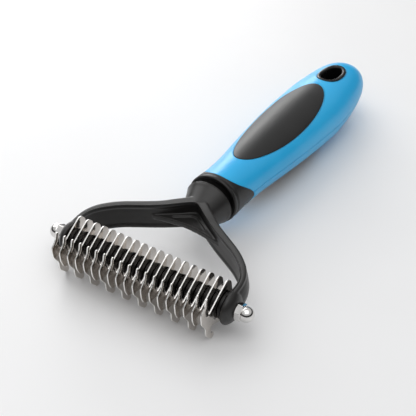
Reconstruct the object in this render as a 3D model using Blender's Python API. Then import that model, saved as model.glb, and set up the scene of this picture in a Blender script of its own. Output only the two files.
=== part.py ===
"""Two-sided undercoat rake for pets: comb blades on a cross rod held in a
two-armed yoke, with a round neck, a rubber collar and an oval two-shell handle.

Frame (metres in the file, millimetres in the constants below):
  +Y from the blades to the butt of the handle, +Z up, X along the cross rod.
  The tool lies as it rests on a table: hook bottoms and handle belly at Z = 0.
  Head pieces are drawn in a head frame whose X axis is the rod; that frame is
  tipped by HEAD_TILT about the rod, because the yoke rises towards the neck.
"""
import bpy
import bmesh
import math
from mathutils import Vector, Matrix

MM = 0.001

# ---------------------------------------------------------------- dimensions
HEAD_TILT = 7.2          # degrees, yoke plane against the table
ROD_Z = 12.106           # height of the rod axis
BASE_Y = -87.87          # moves the rod so that the frame origin is the base centre

BLADES = 19
PITCH = 4.1              # blade to blade along the rod
BLADE_T = 0.6
BORE_R = 2.3             # rod hole in blades, spacers, eyes and nuts
ROD_R = 2.0              # M4 rod
ROD_HALF = 47.9

SPACER_R = 4.95
END_SPACER_R = 6.3
GAP = 0.3                # air between neighbouring pieces

EYE_R = 7.6              # yoke eye around the rod
EYE_IN = 39.3
EYE_OUT = 43.6
ARM_H = 7.0              # half height of the yoke arms

NUT_AF = 7.0             # M4 cap nut
NUT_HEX = 2.8
NUT_DOME_R = 3.45
NUT_TIP = 51.2

NECK_LIP_Y = 49.0        # head frame
NECK_LIP_R = 11.5
STEM_R = 6.4

HANDLE_START = 50.6      # along the handle, from the rod
HANDLE_END = 193.4
# collar edge on each flank as (z, y): a bell-shaped tongue low on the side
COLLAR_EDGE = [(6.1, 54.5), (6.6, 54.8), (7.3, 55.9), (8.3, 57.8), (9.2, 60.1), (10.3, 62.9), (11.6, 65.4), (13.0, 67.4),
               (14.9, 68.7), (17.5, 67.4), (19.7, 65.4), (21.9, 62.9), (24.1, 60.1), (26.0, 57.8), (28.0, 55.9),
               (29.3, 54.8), (30.0, 54.5)]
SHELL_T = 2.8
INLAY_T = 1.5
INLAY_C, INLAY_A = 112.3, 39.7
HOLE_Y = 168.0           # hang hole
HOLE_HALF = (6.1, 10.6)   # grommet outside, half sizes in X and Y
HOLE_IN = (4.1, 8.5)     # hole through it

COLL = "Undercoat_Rake"
CUTS = "Cutters"


# ---------------------------------------------------------------- scene
for ob in list(bpy.data.objects):
    bpy.data.objects.remove(ob, do_unlink=True)
for block in (bpy.data.meshes, bpy.data.curves, bpy.data.materials):
    for item in list(block):
        block.remove(item)

coll = bpy.data.collections.new(COLL)
cuts = bpy.data.collections.new(CUTS)
bpy.context.scene.collection.children.link(coll)
bpy.context.scene.collection.children.link(cuts)


def material(name, colour, rough, metal=0.0):
    m = bpy.data.materials.new(name)
    m.use_nodes = True
    p = m.node_tree.nodes["Principled BSDF"]
    p.inputs["Base Color"].default_value = (*colour, 1.0)
    p.inputs["Roughness"].default_value = rough
    p.inputs["Metallic"].default_value = metal
    m.diffuse_color = (*colour, 1.0)
    return m


STEEL = (0.56, 0.54, 0.52)
BLACK = (0.018, 0.018, 0.019)
BLUE = (0.05, 0.36, 0.66)


def new_object(name, mesh, colour, rough, metal=0.0, smooth=True, target=None):
    ob = bpy.data.objects.new(name, mesh)
    (target or coll).objects.link(ob)
    if target is None:
        mesh.materials.clear()
        mesh.materials.append(material("mat_" + name, colour, rough, metal))
    for p in mesh.polygons:
        p.use_smooth = smooth
    return ob


def head(ob, x=0.0):
    """Place an object drawn about the rod axis into the tipped head frame."""
    ob.location = (x * MM, BASE_Y * MM, ROD_Z * MM)
    ob.rotation_euler = (math.radians(HEAD_TILT), 0, 0)
    return ob


def finish(bm, name):
    bmesh.ops.remove_doubles(bm, verts=bm.verts, dist=1e-6)
    bmesh.ops.recalc_face_normals(bm, faces=bm.faces)
    me = bpy.data.meshes.new(name)
    bm.to_mesh(me)
    bm.free()
    return me


# ---------------------------------------------------------------- outlines
def rounded(corners, steps=4):
    """Closed outline through corners (u, v, radius), each corner rounded."""
    pts = []
    n = len(corners)
    for i in range(n):
        a = Vector(corners[i - 1][:2])
        b = Vector(corners[i][:2])
        c = Vector(corners[(i + 1) % n][:2])
        r = corners[i][2]
        d1 = (a - b).normalized()
        d2 = (c - b).normalized()
        if r <= 0:
            pts.append((b.x, b.y))
            continue
        half = math.acos(max(-1, min(1, d1.dot(d2)))) / 2
        t = r / math.tan(half)
        t = min(t, 0.49 * (a - b).length, 0.49 * (c - b).length)
        rr = t * math.tan(half)
        mid = (d1 + d2).normalized()
        ctr = b + mid * (rr / math.sin(half))
        p1 = b + d1 * t
        p2 = b + d2 * t
        a1 = math.atan2(p1.y - ctr.y, p1.x - ctr.x)
        a2 = math.atan2(p2.y - ctr.y, p2.x - ctr.x)
        da = (a2 - a1 + math.pi) % (2 * math.pi) - math.pi
        k = max(1, min(steps, int(abs(da) / 0.55) + 1))
        for j in range(k + 1):
            w = a1 + da * j / k
            pts.append((ctr.x + rr * math.cos(w), ctr.y + rr * math.sin(w)))
    return pts


def oval(cx, cy, ax, ay, n=28, power=2.0):
    out = []
    for i in range(n):
        w = 2 * math.pi * i / n
        c, s = math.cos(w), math.sin(w)
        out.append((cx + ax * math.copysign(abs(c) ** (2 / power), c),
                    cy + ay * math.copysign(abs(s) ** (2 / power), s)))
    return out


def plate(name, outline, holes, t, axis="X"):
    """Flat plate from a filled 2D curve, half thickness t/2 both ways."""
    cu = bpy.data.curves.new(name + "_outline", "CURVE")
    cu.dimensions = "2D"
    cu.fill_mode = "BOTH"
    cu.extrude = t / 2 * MM
    for ring in [outline] + holes:
        sp = cu.splines.new("POLY")
        sp.points.add(len(ring) - 1)
        for p, (u, v) in zip(sp.points, ring):
            p.co = (u * MM, v * MM, 0, 1)
        sp.use_cyclic_u = True
    ob = bpy.data.objects.new(name + "_outline", cu)
    cuts.objects.link(ob)
    bpy.context.view_layer.update()
    dg = bpy.context.evaluated_depsgraph_get()
    me = bpy.data.meshes.new_from_object(ob.evaluated_get(dg))
    bpy.data.objects.remove(ob)
    bpy.data.curves.remove(cu)
    bm = bmesh.new()
    bm.from_mesh(me)
    bpy.data.meshes.remove(me)
    if axis == "X":        # drawn (u, v) = (Y, Z), thickness along X
        rot = Matrix(((0, 0, 1, 0), (1, 0, 0, 0), (0, 1, 0, 0), (0, 0, 0, 1)))
        bmesh.ops.transform(bm, matrix=rot, verts=bm.verts)
    return finish(bm, name)


def circle(r, n, cu=0.0, cv=0.0, phase=0.0):
    return [(cu + r * math.cos(phase + 2 * math.pi * i / n),
             cv + r * math.sin(phase + 2 * math.pi * i / n)) for i in range(n)]


def lathe(name, profile, segments, axis="X", closed=True):
    """Ring or solid of revolution; profile is (along, radius), in order."""
    bm = bmesh.new()
    rings = []
    for a, r in profile:
        if r < 1e-6:
            rings.append([bm.verts.new((a * MM, 0, 0))])
        else:
            rings.append([bm.verts.new((a * MM, r * MM * math.cos(2 * math.pi * i / segments),
                                        r * MM * math.sin(2 * math.pi * i / segments)))
                          for i in range(segments)])
    pairs = list(zip(rings, rings[1:]))
    if closed:
        pairs.append((rings[-1], rings[0]))
    for p, q in pairs:
        if len(p) == 1 and len(q) == 1:
            continue
        for i in range(segments):
            j = (i + 1) % segments
            if len(p) == 1:
                bm.faces.new((p[0], q[j], q[i]))
            elif len(q) == 1:
                bm.faces.new((p[i], p[j], q[0]))
            else:
                bm.faces.new((p[i], p[j], q[j], q[i]))
    if not closed:
        for ring in (rings[0], rings[-1]):
            if len(ring) > 1:
                bm.faces.new(ring)
    if axis == "Y":
        bmesh.ops.transform(bm, matrix=Matrix.Rotation(math.radians(90), 4, "Z"), verts=bm.verts)
    return finish(bm, name)


def loft(name, rings):
    """Closed body through equal-count rings with capped ends."""
    bm = bmesh.new()
    vs = [[bm.verts.new(Vector(p) * MM) for p in ring] for ring in rings]
    n = len(vs[0])
    for a, b in zip(vs, vs[1:]):
        for i in range(n):
            j = (i + 1) % n
            bm.faces.new((a[i], a[j], b[j], b[i]))
    bm.faces.new(vs[0])
    bm.faces.new(vs[-1])
    return finish(bm, name)


def boolean(ob, cutter, op):
    m = ob.modifiers.new(op.lower(), "BOOLEAN")
    m.operation = op
    m.solver = "EXACT"
    m.object = cutter
    bpy.context.view_layer.update()
    dg = bpy.context.evaluated_depsgraph_get()
    me = bpy.data.meshes.new_from_object(ob.evaluated_get(dg))
    ob.modifiers.clear()
    old = ob.data
    ob.data = me
    bpy.data.meshes.remove(old)
    bm = bmesh.new()
    bm.from_mesh(ob.data)
    bmesh.ops.remove_doubles(bm, verts=bm.verts, dist=2e-6)
    bmesh.ops.dissolve_degenerate(bm, edges=bm.edges, dist=2e-6)
    bm.to_mesh(ob.data)
    bm.free()
    return ob


def tool(name, mesh, at=None):
    """A cutter or a piece to be joined; kept out of the part."""
    ob = new_object(name, mesh, BLACK, 0.5, target=cuts)
    ob.hide_render = True
    ob.display_type = "WIRE"
    if at is not None:
        ob.matrix_world = at
    return ob


def drop(*obs):
    for ob in obs:
        me = ob.data
        bpy.data.objects.remove(ob)
        bpy.data.meshes.remove(me)


# ---------------------------------------------------------------- blades
# Head frame (Y, Z) corners: rounded fin over the rod, notch, upright front
# spike, convex front lobe. Every second blade carries a J-hook below.
FIN = [(-11.3, 4.2, 0.8), (-3.2, 8.4, 14.0), (3.6, 11.5, 2.6), (6.4, 8.2, 4.0), (7.1, 0.0, 9.0)]
BACK = [(7.1, -4.8, 5.0), (2.4, -7.6, 4.5)]
SPIKE = [(-16.9, 8.6, 2.6), (-13.7, 11.2, 3.0), (-12.7, 14.6, 0.5), (-11.4, 14.3, 0.5), (-12.0, 8.0, 6.0)]
HOOK = [(-4.2, -6.5, 4.0), (-10.0, -2.9, 1.3), (-10.1, -8.05, 0.75), (-8.5, -8.05, 0.6), (-8.15, -10.95, 0.95),
        (-10.3, -10.95, 1.6), (-14.0, -6.0, 4.0), (-13.9, -1.6, 3.0), (-16.6, 3.2, 5.0)]
PLAIN = [(-4.2, -6.5, 4.0), (-10.5, -3.2, 3.0), (-15.4, -1.0, 3.2), (-16.8, 3.4, 4.0)]


def blade_mesh(hooked):
    corners = FIN + BACK + (HOOK if hooked else PLAIN) + SPIKE
    return plate("blade", rounded(corners), [circle(BORE_R, 14)], BLADE_T)


hook_mesh = None
for i in range(BLADES):
    x = (i - (BLADES - 1) / 2) * PITCH
    ob = new_object("blade_%02d" % (i + 1), blade_mesh(i % 2 == 0), STEEL, 0.24, 1.0, smooth=False)
    head(ob, x)

# ---------------------------------------------------------------- spacers
half_pack = (BLADES - 1) / 2 * PITCH
sp_half = (PITCH - BLADE_T) / 2 - GAP / 2
for i in range(BLADES - 1):
    x = (i + 0.5) * PITCH - half_pack
    me = lathe("spacer", [(-sp_half, BORE_R), (-sp_half, SPACER_R), (sp_half, SPACER_R), (sp_half, BORE_R)], 16)
    head(new_object("spacer_%02d" % (i + 1), me, BLACK, 0.22, smooth=False), x)
for side, s in (("left", -1), ("right", 1)):
    a = half_pack + BLADE_T / 2 + GAP / 2
    b = EYE_IN - GAP
    mid, half = (a + b) / 2, (b - a) / 2
    me = lathe("end_spacer", [(-half, BORE_R), (-half, END_SPACER_R - 0.4), (-half + 0.4, END_SPACER_R),
                              (half - 0.4, END_SPACER_R), (half, END_SPACER_R - 0.4), (half, BORE_R)], 24)
    head(new_object("end_spacer_" + side, me, BLACK, 0.3, smooth=False), s * mid)

# ---------------------------------------------------------------- rod
rod = lathe("threaded_rod", [(-ROD_HALF, 0), (-ROD_HALF, ROD_R - 0.4), (-ROD_HALF + 0.4, ROD_R),
                             (ROD_HALF - 0.4, ROD_R), (ROD_HALF, ROD_R - 0.4), (ROD_HALF, 0)], 18, closed=False)
head(new_object("threaded_rod", rod, STEEL, 0.35, 1.0, smooth=False))


# ---------------------------------------------------------------- cap nuts
def cap_nut(name, s):
    """Hexagon collar and dome, blind hole for the rod; own origin on the rod."""
    start = EYE_OUT + GAP - 0.05
    hexr = NUT_AF / math.sqrt(3)
    hx = lathe(name + "_hex", [(start, 0), (start, hexr), (start + NUT_HEX, hexr), (start + NUT_HEX, 0)], 6, closed=False)
    bm = bmesh.new()
    bm.from_mesh(hx)
    bmesh.ops.transform(bm, matrix=Matrix.Rotation(math.radians(30), 4, "X"), verts=bm.verts)
    bm.to_mesh(hx)
    bm.free()
    ob = new_object(name, hx, (0.8, 0.8, 0.8), 0.08, 1.0, smooth=False)
    body = NUT_TIP - NUT_DOME_R
    prof = [(start + 1.0, 0), (start + 1.0, NUT_DOME_R - 0.02), (body, NUT_DOME_R - 0.02)]
    for k in range(1, 5):
        w = k / 5 * math.pi / 2
        prof.append((body + NUT_DOME_R * math.sin(w), (NUT_DOME_R - 0.02) * math.cos(w)))
    prof.append((NUT_TIP, 0))
    dome = tool(name + "_dome", lathe(name + "_dome", prof, 20, closed=False))
    boolean(ob, dome, "UNION")
    hole = tool(name + "_hole", lathe(name + "_hole", [(start - 2, 0), (start - 2, BORE_R), (ROD_HALF + GAP, BORE_R),
                                                       (ROD_HALF + GAP, 0)], 14, closed=False))
    boolean(ob, hole, "DIFFERENCE")
    drop(dome, hole)
    if s < 0:
        bm = bmesh.new()
        bm.from_mesh(ob.data)
        bmesh.ops.transform(bm, matrix=Matrix.Rotation(math.pi, 4, "Z"), verts=bm.verts)
        bm.to_mesh(ob.data)
        bm.free()
    return head(ob)


cap_nut("cap_nut_left", -1)
cap_nut("cap_nut_right", 1)

# ---------------------------------------------------------------- yoke
# Stations of an arm in the head XY plane from the eye to the crotch: inner wall,
# outer flange, bulge of the outer wall beyond the flange, height of the top.
ARM = [
    (39.5, -1.0, 41.5, -1.0, 1.9, 7.0), (39.5, 3.0, 41.6, 3.4, 1.8, 7.0), (39.3, 7.2, 41.5, 8.0, 1.7, 7.0),
    (38.2, 11.4, 40.4, 12.6, 1.3, 7.0), (35.6, 15.2, 37.8, 17.2, 0.8, 7.0), (32.0, 18.7, 33.9, 21.2, 0.7, 7.0),
    (27.8, 21.8, 29.4, 24.6, 0.7, 7.0), (22.7, 24.7, 24.2, 27.7, 0.7, 7.0), (17.4, 27.6, 18.9, 30.7, 0.7, 7.1),
    (12.4, 30.5, 14.2, 33.5, 0.6, 7.4), (8.6, 32.9, 10.7, 36.0, 0.4, 7.8), (5.2, 35.2, 7.5, 38.3, 0.2, 8.1),
    (2.4, 37.3, 4.9, 40.8, 0.1, 8.2), (-0.6, 39.3, 1.9, 43.1, 0.0, 8.2)]


def arm_rings(sign):
    rings = []
    for xi, yi, xo, yo, bulge, top in ARM:
        w = math.hypot(xo - xi, yo - yi)
        ux, uy = (xo - xi) / w, (yo - yi) / w
        section = [(0.0, top - 0.5), (0.5, top), (w - 0.6, top), (w, top - 0.7), (w, top - 1.9),
                   (w + bulge * 0.6, 3.6), (w + bulge, 0.0), (w + bulge * 0.6, -3.6), (w, -ARM_H + 1.9),
                   (w, -ARM_H + 0.7), (w - 0.6, -ARM_H), (0.5, -ARM_H), (0.0, -ARM_H + 0.5),
                   (0.0, -ARM_H + 1.7), (0.6, -ARM_H + 2.3), (0.6, top - 2.3), (0.0, top - 1.7)]
        rings.append([(sign * (xi + ux * d), yi + uy * d, z) for d, z in section])
    return rings


yoke = new_object("yoke", loft("yoke", arm_rings(1)), BLACK, 0.42, smooth=False)
left = tool("arm_left", loft("arm_left", arm_rings(-1)))
boolean(yoke, left, "UNION")
# neck: a waisted round body that opens to the lip
neck = tool("neck", lathe("neck", [(38.6, 0), (38.6, 8.1), (41.6, 8.95), (45.0, 10.15), (47.2, 11.0),
                                   (48.2, NECK_LIP_R), (NECK_LIP_Y, NECK_LIP_R), (NECK_LIP_Y, 0)], 28,
                           axis="Y", closed=False))
boolean(yoke, neck, "UNION")
# stem into the handle, bent down to run along the handle
bend = Matrix.Translation((0, 47.0 * MM, 0)) @ Matrix.Rotation(math.radians(-HEAD_TILT), 4, "X")
stem = tool("stem", lathe("stem", [(0, 0), (0, STEM_R), (31, STEM_R), (33, STEM_R - 1.5), (33, 0)], 20,
                           axis="Y", closed=False), bend)
boolean(yoke, stem, "UNION")
# web across the crotch, its front edge an arch from arm to arm
arch = [(-18.6, 27.5), (-13.0, 28.6), (-9.0, 29.5), (-4.5, 30.1), (0.0, 30.3), (4.5, 30.1), (9.0, 29.5), (13.0, 28.6),
        (18.6, 27.5), (10.0, 33.6), (3.0, 40.0), (-3.0, 40.0), (-10.0, 33.6)]
web = tool("web", plate("web", arch, [], 2.6, axis="Z"))
boolean(yoke, web, "UNION")
panel = rounded([(-10.6, 30.6, 0.6), (10.6, 30.6, 0.6), (1.6, 35.6, 1.2), (-1.6, 35.6, 1.2)])
for z in (1.3, -1.3):
    cut = tool("web_panel", plate("web_panel", panel, [], 1.0, axis="Z"), Matrix.Translation((0, 0, z * MM)))
    boolean(yoke, cut, "DIFFERENCE")
    drop(cut)
for s in (1, -1):
    eye = tool("eye", lathe("eye", [(EYE_IN, 0), (EYE_IN, EYE_R - 0.4), (EYE_IN + 0.4, EYE_R), (EYE_IN + 1.8, EYE_R),
                                    (EYE_OUT - 1.2, EYE_R - 1.5), (EYE_OUT, EYE_R - 3.2), (EYE_OUT, 0)], 28, closed=False), Matrix.Rotation(0 if s > 0 else math.pi, 4, "Z"))
    boolean(yoke, eye, "UNION")
    bore = tool("bore", lathe("bore", [(EYE_IN - 3, 0), (EYE_IN - 3, BORE_R), (EYE_OUT + 3, BORE_R),
                                       (EYE_OUT + 3, 0)], 14, closed=False), Matrix.Rotation(0 if s > 0 else math.pi, 4, "Z"))
    boolean(yoke, bore, "DIFFERENCE")
    drop(eye, bore)
drop(left, neck, stem, web)
head(yoke)

# ---------------------------------------------------------------- handle
# Stations along the handle: y, half width, half height, axis height.
HANDLE = [(HANDLE_START, 11.9, 11.6, 18.2), (51.6, 12.3, 12.0, 18.2), (53.0, 12.3, 12.0, 18.1), (57.0, 12.2, 11.6, 17.9),
          (64.0, 12.1, 11.2, 17.6), (74.0, 12.5, 11.2, 17.2), (86.0, 13.6, 11.9, 16.9), (98.0, 14.8, 12.7, 16.5),
          (110.0, 15.8, 13.4, 16.1), (122.0, 16.6, 14.0, 15.6), (134.0, 17.2, 14.4, 15.1), (146.0, 17.4, 14.5, 14.5),
          (156.0, 17.0, 14.2, 14.6), (165.0, 16.1, 13.4, 14.8), (173.0, 14.9, 12.4, 15.2), (179.0, 13.6, 11.3, 15.6),
          (184.0, 11.9, 9.8, 15.9), (188.0, 9.7, 7.9, 16.1), (191.0, 7.1, 5.7, 16.2), (192.8, 4.4, 3.4, 16.3),
          (HANDLE_END, 2.0, 1.5, 16.3)]


def handle_body(name, inset, first=None, last=None, n=32):
    rings = []
    for y, w, h, z in HANDLE:
        if first is not None and y < first - 1e-6:
            continue
        if last is not None and y > last + 1e-6:
            continue
        ww, hh = w - inset, h - inset
        if ww < 0.8 or hh < 0.8:
            continue
        rings.append([(ww * math.cos(2 * math.pi * i / n), BASE_Y + y, z + hh * math.sin(2 * math.pi * i / n))
                      for i in range(n)])
    return loft(name, rings)


def side_prism(name, grow, reach):
    """Collar region: everything before the collar edge, moved out by grow."""
    edge = [(y, z) for z, y in COLLAR_EDGE]
    moved = []
    for k, (y, z) in enumerate(edge):
        y0, z0 = edge[max(k - 1, 0)]
        y1, z1 = edge[min(k + 1, len(edge) - 1)]
        ln = math.hypot(y1 - y0, z1 - z0)
        moved.append((y + grow * (z1 - z0) / ln, z - grow * (y1 - y0) / ln))
    ends = [(HANDLE_START - 5, -12.5), (edge[0][0] + grow, -12.5)], [(edge[-1][0] + grow, 47.5), (HANDLE_START - 5, 47.5)]
    pts = [(BASE_Y + u, v) for u, v in ends[0] + moved + ends[1]]
    return plate(name, pts, [], reach, axis="X")


def stem_bore(name, r, length):
    at = Matrix.Translation((0, BASE_Y * MM, ROD_Z * MM)) @ Matrix.Rotation(math.radians(HEAD_TILT), 4, "X") @ bend
    return tool(name, lathe(name, [(-6, 0), (-6, r), (length, r), (length, 0)], 20, axis="Y", closed=False), at)


# collar
collar = new_object("collar", handle_body("collar", 0.0, last=86.0), BLACK, 0.5, smooth=False)
cut = tool("collar_zone", side_prism("collar_zone", 0.0, 60))
boolean(collar, cut, "INTERSECT")
bore = stem_bore("collar_bore", STEM_R + GAP, 60)
boolean(collar, bore, "DIFFERENCE")
drop(cut, bore)
INLAY_W = 11.8


def inlay_outline(grow, n=30):
    """Egg oval: blunter and wider towards the butt."""
    out = []
    for i in range(n):
        w = 2 * math.pi * i / n
        s = math.sin(w)
        out.append(((INLAY_W + grow) * math.cos(w) * (1 + 0.10 * s), BASE_Y + INLAY_C + (INLAY_A + grow) * s))
    return out


def vertical(name, outline, z0, z1):
    return plate(name, outline, [], z1 - z0, axis="Z"), Matrix.Translation((0, 0, (z0 + z1) / 2 * MM))


def half_space(name, top):
    """Box above or below the parting line that follows the handle axis."""
    gap = 0.15 if top else -0.15
    far = 60 if top else -60
    line = [(BASE_Y + 40.0, HANDLE[0][3] + gap)] + [(BASE_Y + y, z + gap) for y, w, h, z in HANDLE[3:-1]]
    line += [(BASE_Y + 200.0, HANDLE[-1][3] + gap)]
    return plate(name, line + [(BASE_Y + 200.0, far), (BASE_Y + 40.0, far)], [], 80, axis="X")


def shell(name, top):
    ob = new_object(name, handle_body(name, 0.0), BLUE, 0.3, smooth=False)
    part = tool("part", half_space("part", top))
    boolean(ob, part, "INTERSECT")
    cav = tool("cavity", handle_body("cavity", SHELL_T, first=51.6, last=184.0))
    boolean(ob, cav, "DIFFERENCE")
    zone = tool("zone", side_prism("zone", GAP, 60))
    boolean(ob, zone, "DIFFERENCE")
    # pocket for the grip inlay
    z0, z1 = (17.5, 60.0) if top else (-30.0, 14.0)
    me, at = vertical("pocket", inlay_outline(GAP), z0, z1)
    pocket = tool("pocket", me, at)
    inner = tool("inner", handle_body("inner", INLAY_T + GAP, first=57.0, last=184.0))
    boolean(pocket, inner, "DIFFERENCE")
    boolean(ob, pocket, "DIFFERENCE")
    me, at = vertical("hang", oval(0, BASE_Y + HOLE_Y, HOLE_HALF[0] + GAP, HOLE_HALF[1] + GAP, 24, 2.3), -10, 60)
    hang = tool("hang", me, at)
    boolean(ob, hang, "DIFFERENCE")
    drop(cav, zone, part, pocket, inner, hang)
    return ob


shell("handle_shell_top", True)
shell("handle_shell_bottom", False)


def inlay(name, top):
    ob = new_object(name, handle_body(name, 0.0), BLACK, 0.6, smooth=False)
    z0, z1 = (17.5, 60.0) if top else (-30.0, 14.0)
    me, at = vertical("oval", inlay_outline(0.0), z0, z1)
    ov = tool("oval", me, at)
    boolean(ob, ov, "INTERSECT")
    inner = tool("inner", handle_body("inner", INLAY_T, first=57.0, last=184.0))
    boolean(ob, inner, "DIFFERENCE")
    drop(ov, inner)
    return ob


inlay("grip_inlay_top", True)
inlay("grip_inlay_bottom", False)

# grommet: oval tube that follows the handle surface at both mouths
me, at = vertical("grommet", oval(0, BASE_Y + HOLE_Y, HOLE_HALF[0], HOLE_HALF[1], 24, 2.3), -10, 60)
grommet = new_object("hang_grommet", me, BLACK, 0.12, smooth=False)
grommet.matrix_world = at
skin = tool("skin", handle_body("skin", -0.35))
boolean(grommet, skin, "INTERSECT")
me, at = vertical("through", oval(0, BASE_Y + HOLE_Y, HOLE_IN[0], HOLE_IN[1], 20, 2.3), -10, 60)
through = tool("through", me, at)
boolean(grommet, through, "DIFFERENCE")
drop(skin, through)

# core: spine inside the shells, with the socket for the stem
core = new_object("handle_core", handle_body("core", SHELL_T + GAP, first=74.0, last=156.0, n=24), BLACK, 0.5, smooth=False)
sock = stem_bore("socket", STEM_R + GAP, 33.6)
boolean(core, sock, "DIFFERENCE")
drop(sock)

# smooth shading on round surfaces, creases kept where faces meet steeply
for ob in coll.objects:
    ob.data.shade_smooth()
    ob.data.set_sharp_from_angle(angle=math.radians(35))
    ob.data.update()
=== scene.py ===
import math

import bmesh
import bpy
import numpy as np
from mathutils import Matrix, Vector


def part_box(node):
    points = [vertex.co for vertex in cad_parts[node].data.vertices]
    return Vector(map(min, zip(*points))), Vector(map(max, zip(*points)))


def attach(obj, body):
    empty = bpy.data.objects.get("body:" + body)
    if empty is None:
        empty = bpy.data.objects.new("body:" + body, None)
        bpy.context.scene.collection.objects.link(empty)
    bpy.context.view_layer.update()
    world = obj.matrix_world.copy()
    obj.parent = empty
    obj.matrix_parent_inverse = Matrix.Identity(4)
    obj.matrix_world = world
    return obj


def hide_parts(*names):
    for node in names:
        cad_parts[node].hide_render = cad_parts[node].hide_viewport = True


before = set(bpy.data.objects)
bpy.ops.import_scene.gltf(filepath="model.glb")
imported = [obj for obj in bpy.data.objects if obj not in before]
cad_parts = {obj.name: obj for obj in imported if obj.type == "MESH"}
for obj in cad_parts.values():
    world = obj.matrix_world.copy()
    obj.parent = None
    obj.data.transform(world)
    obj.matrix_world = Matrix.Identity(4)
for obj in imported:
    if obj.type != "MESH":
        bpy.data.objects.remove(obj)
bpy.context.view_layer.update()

MM = 0.001

# ------------------------------------------------------------------ frame
rod_lo, rod_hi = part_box("threaded_rod")
ROD = (rod_lo + rod_hi) / 2
BY = ROD.y / MM                       # the rod, in mm, along the handle
TILT = math.radians(7.2)
HEAD = Matrix.Translation(ROD) @ Matrix.Rotation(TILT, 4, "X")


# ------------------------------------------------------------------ nodes
def new_mat(name, colour, rough, metal=0.0):
    m = bpy.data.materials.new(name)
    m.use_nodes = True
    t = m.node_tree
    p = t.nodes["Principled BSDF"]
    p.inputs["Base Color"].default_value = (*colour, 1)
    p.inputs["Roughness"].default_value = rough
    p.inputs["Metallic"].default_value = metal
    return m, t, p


def coords(t, scale=(1, 1, 1), rot=(0, 0, 0)):
    tc = t.nodes.new("ShaderNodeTexCoord")
    mp = t.nodes.new("ShaderNodeMapping")
    mp.inputs["Scale"].default_value = scale
    mp.inputs["Rotation"].default_value = rot
    t.links.new(tc.outputs["Object"], mp.inputs["Vector"])
    return mp.outputs["Vector"]


def noise(t, vec, scale, detail=3.0, rough=0.5):
    n = t.nodes.new("ShaderNodeTexNoise")
    n.inputs["Scale"].default_value = scale
    n.inputs["Detail"].default_value = detail
    n.inputs["Roughness"].default_value = rough
    t.links.new(vec, n.inputs["Vector"])
    return n.outputs["Fac"]


def ramp(t, fac, stops):
    r = t.nodes.new("ShaderNodeValToRGB")
    e = r.color_ramp.elements
    while len(e) < len(stops):
        e.new(0.5)
    for el, (pos, col) in zip(e, stops):
        el.position = pos
        el.color = (*col, 1) if len(col) == 3 else col
    t.links.new(fac, r.inputs["Fac"])
    return r.outputs["Color"]


def grey(t, fac, lo, hi, a=0.3, b=0.7):
    m = t.nodes.new("ShaderNodeMapRange")
    m.inputs["From Min"].default_value = a
    m.inputs["From Max"].default_value = b
    m.inputs["To Min"].default_value = lo
    m.inputs["To Max"].default_value = hi
    t.links.new(fac, m.inputs["Value"])
    return m.outputs["Result"]


def bump(t, p, height, dist, strength=1.0, chain=None):
    b = t.nodes.new("ShaderNodeBump")
    b.inputs["Distance"].default_value = dist
    b.inputs["Strength"].default_value = strength
    t.links.new(height, b.inputs["Height"])
    if chain is not None:
        t.links.new(chain, b.inputs["Normal"])
    t.links.new(b.outputs["Normal"], p.inputs["Normal"])
    return b.outputs["Normal"]


def maths(t, op, a, b):
    m = t.nodes.new("ShaderNodeMath")
    m.operation = op
    for k, v in enumerate((a, b)):
        if isinstance(v, (int, float)):
            m.inputs[k].default_value = v
        else:
            t.links.new(v, m.inputs[k])
    return m.outputs[0]


def steel_face():
    m, t, p = new_mat("steel_polished", (0.66, 0.62, 0.58), 0.2, 1.0)
    v = coords(t, (1, 1, 14), (0.5, 0, 0))
    n = noise(t, v, 900, 4, 0.6)
    big = noise(t, coords(t), 130, 2)
    mix = maths(t, "ADD", maths(t, "MULTIPLY", n, 0.6), maths(t, "MULTIPLY", big, 0.4))
    t.links.new(ramp(t, mix, [(0.32, (0.60, 0.56, 0.52)), (0.68, (0.74, 0.70, 0.66))]), p.inputs["Base Color"])
    t.links.new(grey(t, mix, 0.09, 0.18), p.inputs["Roughness"])
    bump(t, p, n, 0.00001, 0.25)
    return m


def steel_edge():
    m, t, p = new_mat("steel_sheared_edge", (0.9, 0.88, 0.85), 0.26, 1.0)
    v = coords(t, (16, 1, 1))
    n = noise(t, v, 1400, 3, 0.6)
    t.links.new(ramp(t, n, [(0.3, (0.78, 0.76, 0.73)), (0.62, (0.96, 0.95, 0.93))]), p.inputs["Base Color"])
    t.links.new(grey(t, n, 0.2, 0.36), p.inputs["Roughness"])
    bump(t, p, n, 0.00003, 0.3)
    return m


def chrome():
    m, t, p = new_mat("chrome_plate", (0.86, 0.85, 0.84), 0.05, 1.0)
    n = noise(t, coords(t), 420, 4, 0.6)
    t.links.new(ramp(t, n, [(0.3, (0.68, 0.67, 0.655)), (0.7, (0.78, 0.77, 0.76))]), p.inputs["Base Color"])
    t.links.new(grey(t, n, 0.035, 0.085), p.inputs["Roughness"])
    bump(t, p, n, 0.00001, 0.12)
    return m


def turned_steel():
    m, t, p = new_mat("steel_threaded", (0.5, 0.49, 0.48), 0.34, 1.0)
    w = t.nodes.new("ShaderNodeTexWave")
    w.bands_direction = "X"
    w.inputs["Scale"].default_value = 450
    t.links.new(coords(t), w.inputs["Vector"])
    bump(t, p, w.outputs["Fac"], 0.0003, 0.6)
    # base colour follows the thread wave: painted shade in the grooves and painted highlight on the crests
    t.links.new(ramp(t, w.outputs["Fac"], [(0.1, (0.30, 0.29, 0.28)), (0.8, (0.58, 0.57, 0.55))]), p.inputs["Base Color"])
    return m


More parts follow.
